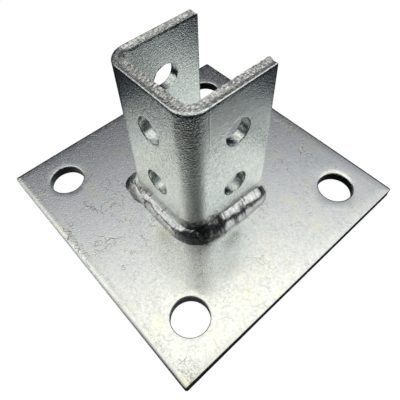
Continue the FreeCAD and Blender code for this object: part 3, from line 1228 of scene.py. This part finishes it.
# %% The skin of a bead
root = 0.8
ripple_pitch, ripple_height, ripple_bow = 1.5, 0.02, 1.6
lump_height, rough_height, burnt_height = 0.24, 0.045, 0.34
calm_start, calm_end, calm_share = 40.0, 54.0, 0.15
restart, restart_reach = 98.0, 6.0


def sizes_at(table, share):
    """Sizes at a share of the way, eased between the neighbouring rows of the table."""
    for (low, *before), (high, *after) in zip(table, table[1:]):
        if share <= high:
            ease = eased(share, low, high)
            return [a + (b - a) * ease for a, b in zip(before, after)]
    return list(table[-1][1:])


def bumps(distance, across, length, width, seed):
    """Noise between -1 and 1, in lumps this long, and in this many across the bead."""
    return noise.noise(Vector((distance / length, across * width, seed)))


def ripples(distance, across):
    """Height in mm of the crescent ripples and lumps. The first pool froze smooth, and round
    the restart the bead is burnt and rough."""
    part = (distance / ripple_pitch + 1.3 * bumps(distance, across, 7.0, 1.2, 2.0)) % 1.0
    uneven = 0.55 + 0.6 * bumps(distance, across, 2.6, 2.0, 5.0)
    crest = ripple_height * uneven * (math.sin(math.pi * part) - 0.5)
    lump = lump_height * bumps(distance, across, 6.5, 2.4, 8.0)
    rough = rough_height * bumps(distance, across, 2.2, 5.0, 11.0)
    calm = calm_share if calm_start < distance < calm_end else 1.0
    burnt = math.exp(-(((distance - restart) / restart_reach) ** 2))
    rough += burnt * burnt_height * bumps(distance, across, 1.5, 6.0, 14.0)
    return calm * (crest + lump) + rough


def skin_point(plate_leg, wall_leg, bulge_out, bulge_up, across):
    """Place and outward direction of the skin, this share of the way from wall to plate."""
    top = Vector((-root, wall_leg))
    crown = Vector((plate_leg * bulge_out, wall_leg * bulge_up))
    toe = Vector((plate_leg, -root))
    place = top * (1 - across) ** 2 + crown * 2 * across * (1 - across) + toe * across**2
    along = (crown - top) * (1 - across) + (toe - crown) * across
    return place, Vector((-along.y, along.x)).normalized()


print("ripples are about", ripple_pitch, "mm apart")

# %% [markdown]
# The legs of a hand-laid bead waver along the way, an open end is rounded off as the last pool of
# a weld is, and the crescents bend back along the way the torch moved.

# %% One cross-section of a bead
bead_columns = 30
strip_length = foot_length / MM


def wavering(distance, share, seed):
    """1, give or take this share over some 5 mm and a little over 1.6 mm."""
    slow, quick = bumps(distance, 0, 5.0, 0, seed), bumps(distance, 0, 1.6, 0, seed + 2)
    return 1 + share * slow + 0.015 * quick


def fullness(gone):
    """How full the bead is this far from its open end."""
    if gone >= nose_length:
        return 1.0
    return math.sqrt(max(0.0004, 1 - (1 - gone / nose_length) ** 2))


def bead_row(distance, sizes, size):
    """Points of the skin from the wall's toe to the plate's, then two that close it inside."""
    plate_leg, wall_leg, *bulge = sizes
    plate_leg *= size * wavering(distance, 0.08, 20)
    wall_leg *= size * wavering(distance, 0.07, 30)
    length = plate_leg + wall_leg
    row = []
    for column in range(bead_columns + 1):
        across = column / bead_columns
        spot, outward = skin_point(plate_leg, wall_leg, *bulge, across)
        # The toes lie still: the height fades out over the outer eighth of the skin.
        held = min(1.0, 8 * across, 8 * (1 - across)) * min(1.0, size * 1.4)
        lift = ripples(distance, across) * held + fold_height(distance, across, length) * size
        spot += outward * lift
        bow = ripple_bow * 2 * across * (1 - across) * size
        x, y = foot_place((distance - bow) * MM, spot.x * MM)
        row.append(Vector((x, y, plate_top + spot.y * MM)))
    # Past the flange's end the back of the bead reaches in behind it.
    past_wall = max(0.0, -distance, distance - strip_length)
    inside = root + min(1.6, past_wall * 0.8) * size
    x, y = foot_place(distance * MM, -inside * MM)
    row += [Vector((x, y, plate_top + up * MM)) for up in (-root, wall_leg * 0.5)]
    return row


print("a cross-section has", bead_columns + 3, "points")

# %% [markdown]
# A bead is the row of those cross-sections along the foot of the channel, a fifth of a
# millimetre apart.

# %% Sweep a bead along the foot
bead_step = 0.22


def build_weld(name, start, end, table, open_start, open_end):
    count = round((end - start) / bead_step)
    vertices, faces = [], []
    for row in range(count + 1):
        distance = start + (end - start) * row / count
        size = fullness(distance - start) if open_start else 1.0
        size *= fullness(end - distance) if open_end else 1.0
        vertices += bead_row(distance, sizes_at(table, row / count), size)
    ring = bead_columns + 3
    for row in range(count):
        for column in range(ring):
            a, b = row * ring + column, row * ring + (column + 1) % ring
            faces.append((a, b, b + ring, a + ring))
    faces.append(tuple(range(ring))[::-1])
    faces.append(tuple(range(count * ring, count * ring + ring)))
    piece = add_piece(name, vertices, faces, [0] * len(faces), 60, weld_metal)
    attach(piece, "root")
    return piece


lap = 0.6
left_bead = build_weld(
    "left_flange_bead", -past_end, left_stop + lap, left_flange_sizes, True, False
)
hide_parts("left_flange_weld")
web_bead = build_weld("web_bead", left_stop, right_stop + lap, web_sizes, False, False)
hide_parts("web_weld")
right_bead = build_weld(
    "right_flange_bead", right_stop, strip_length + past_end, right_flange_sizes, False, True
)
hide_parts("right_flange_weld")
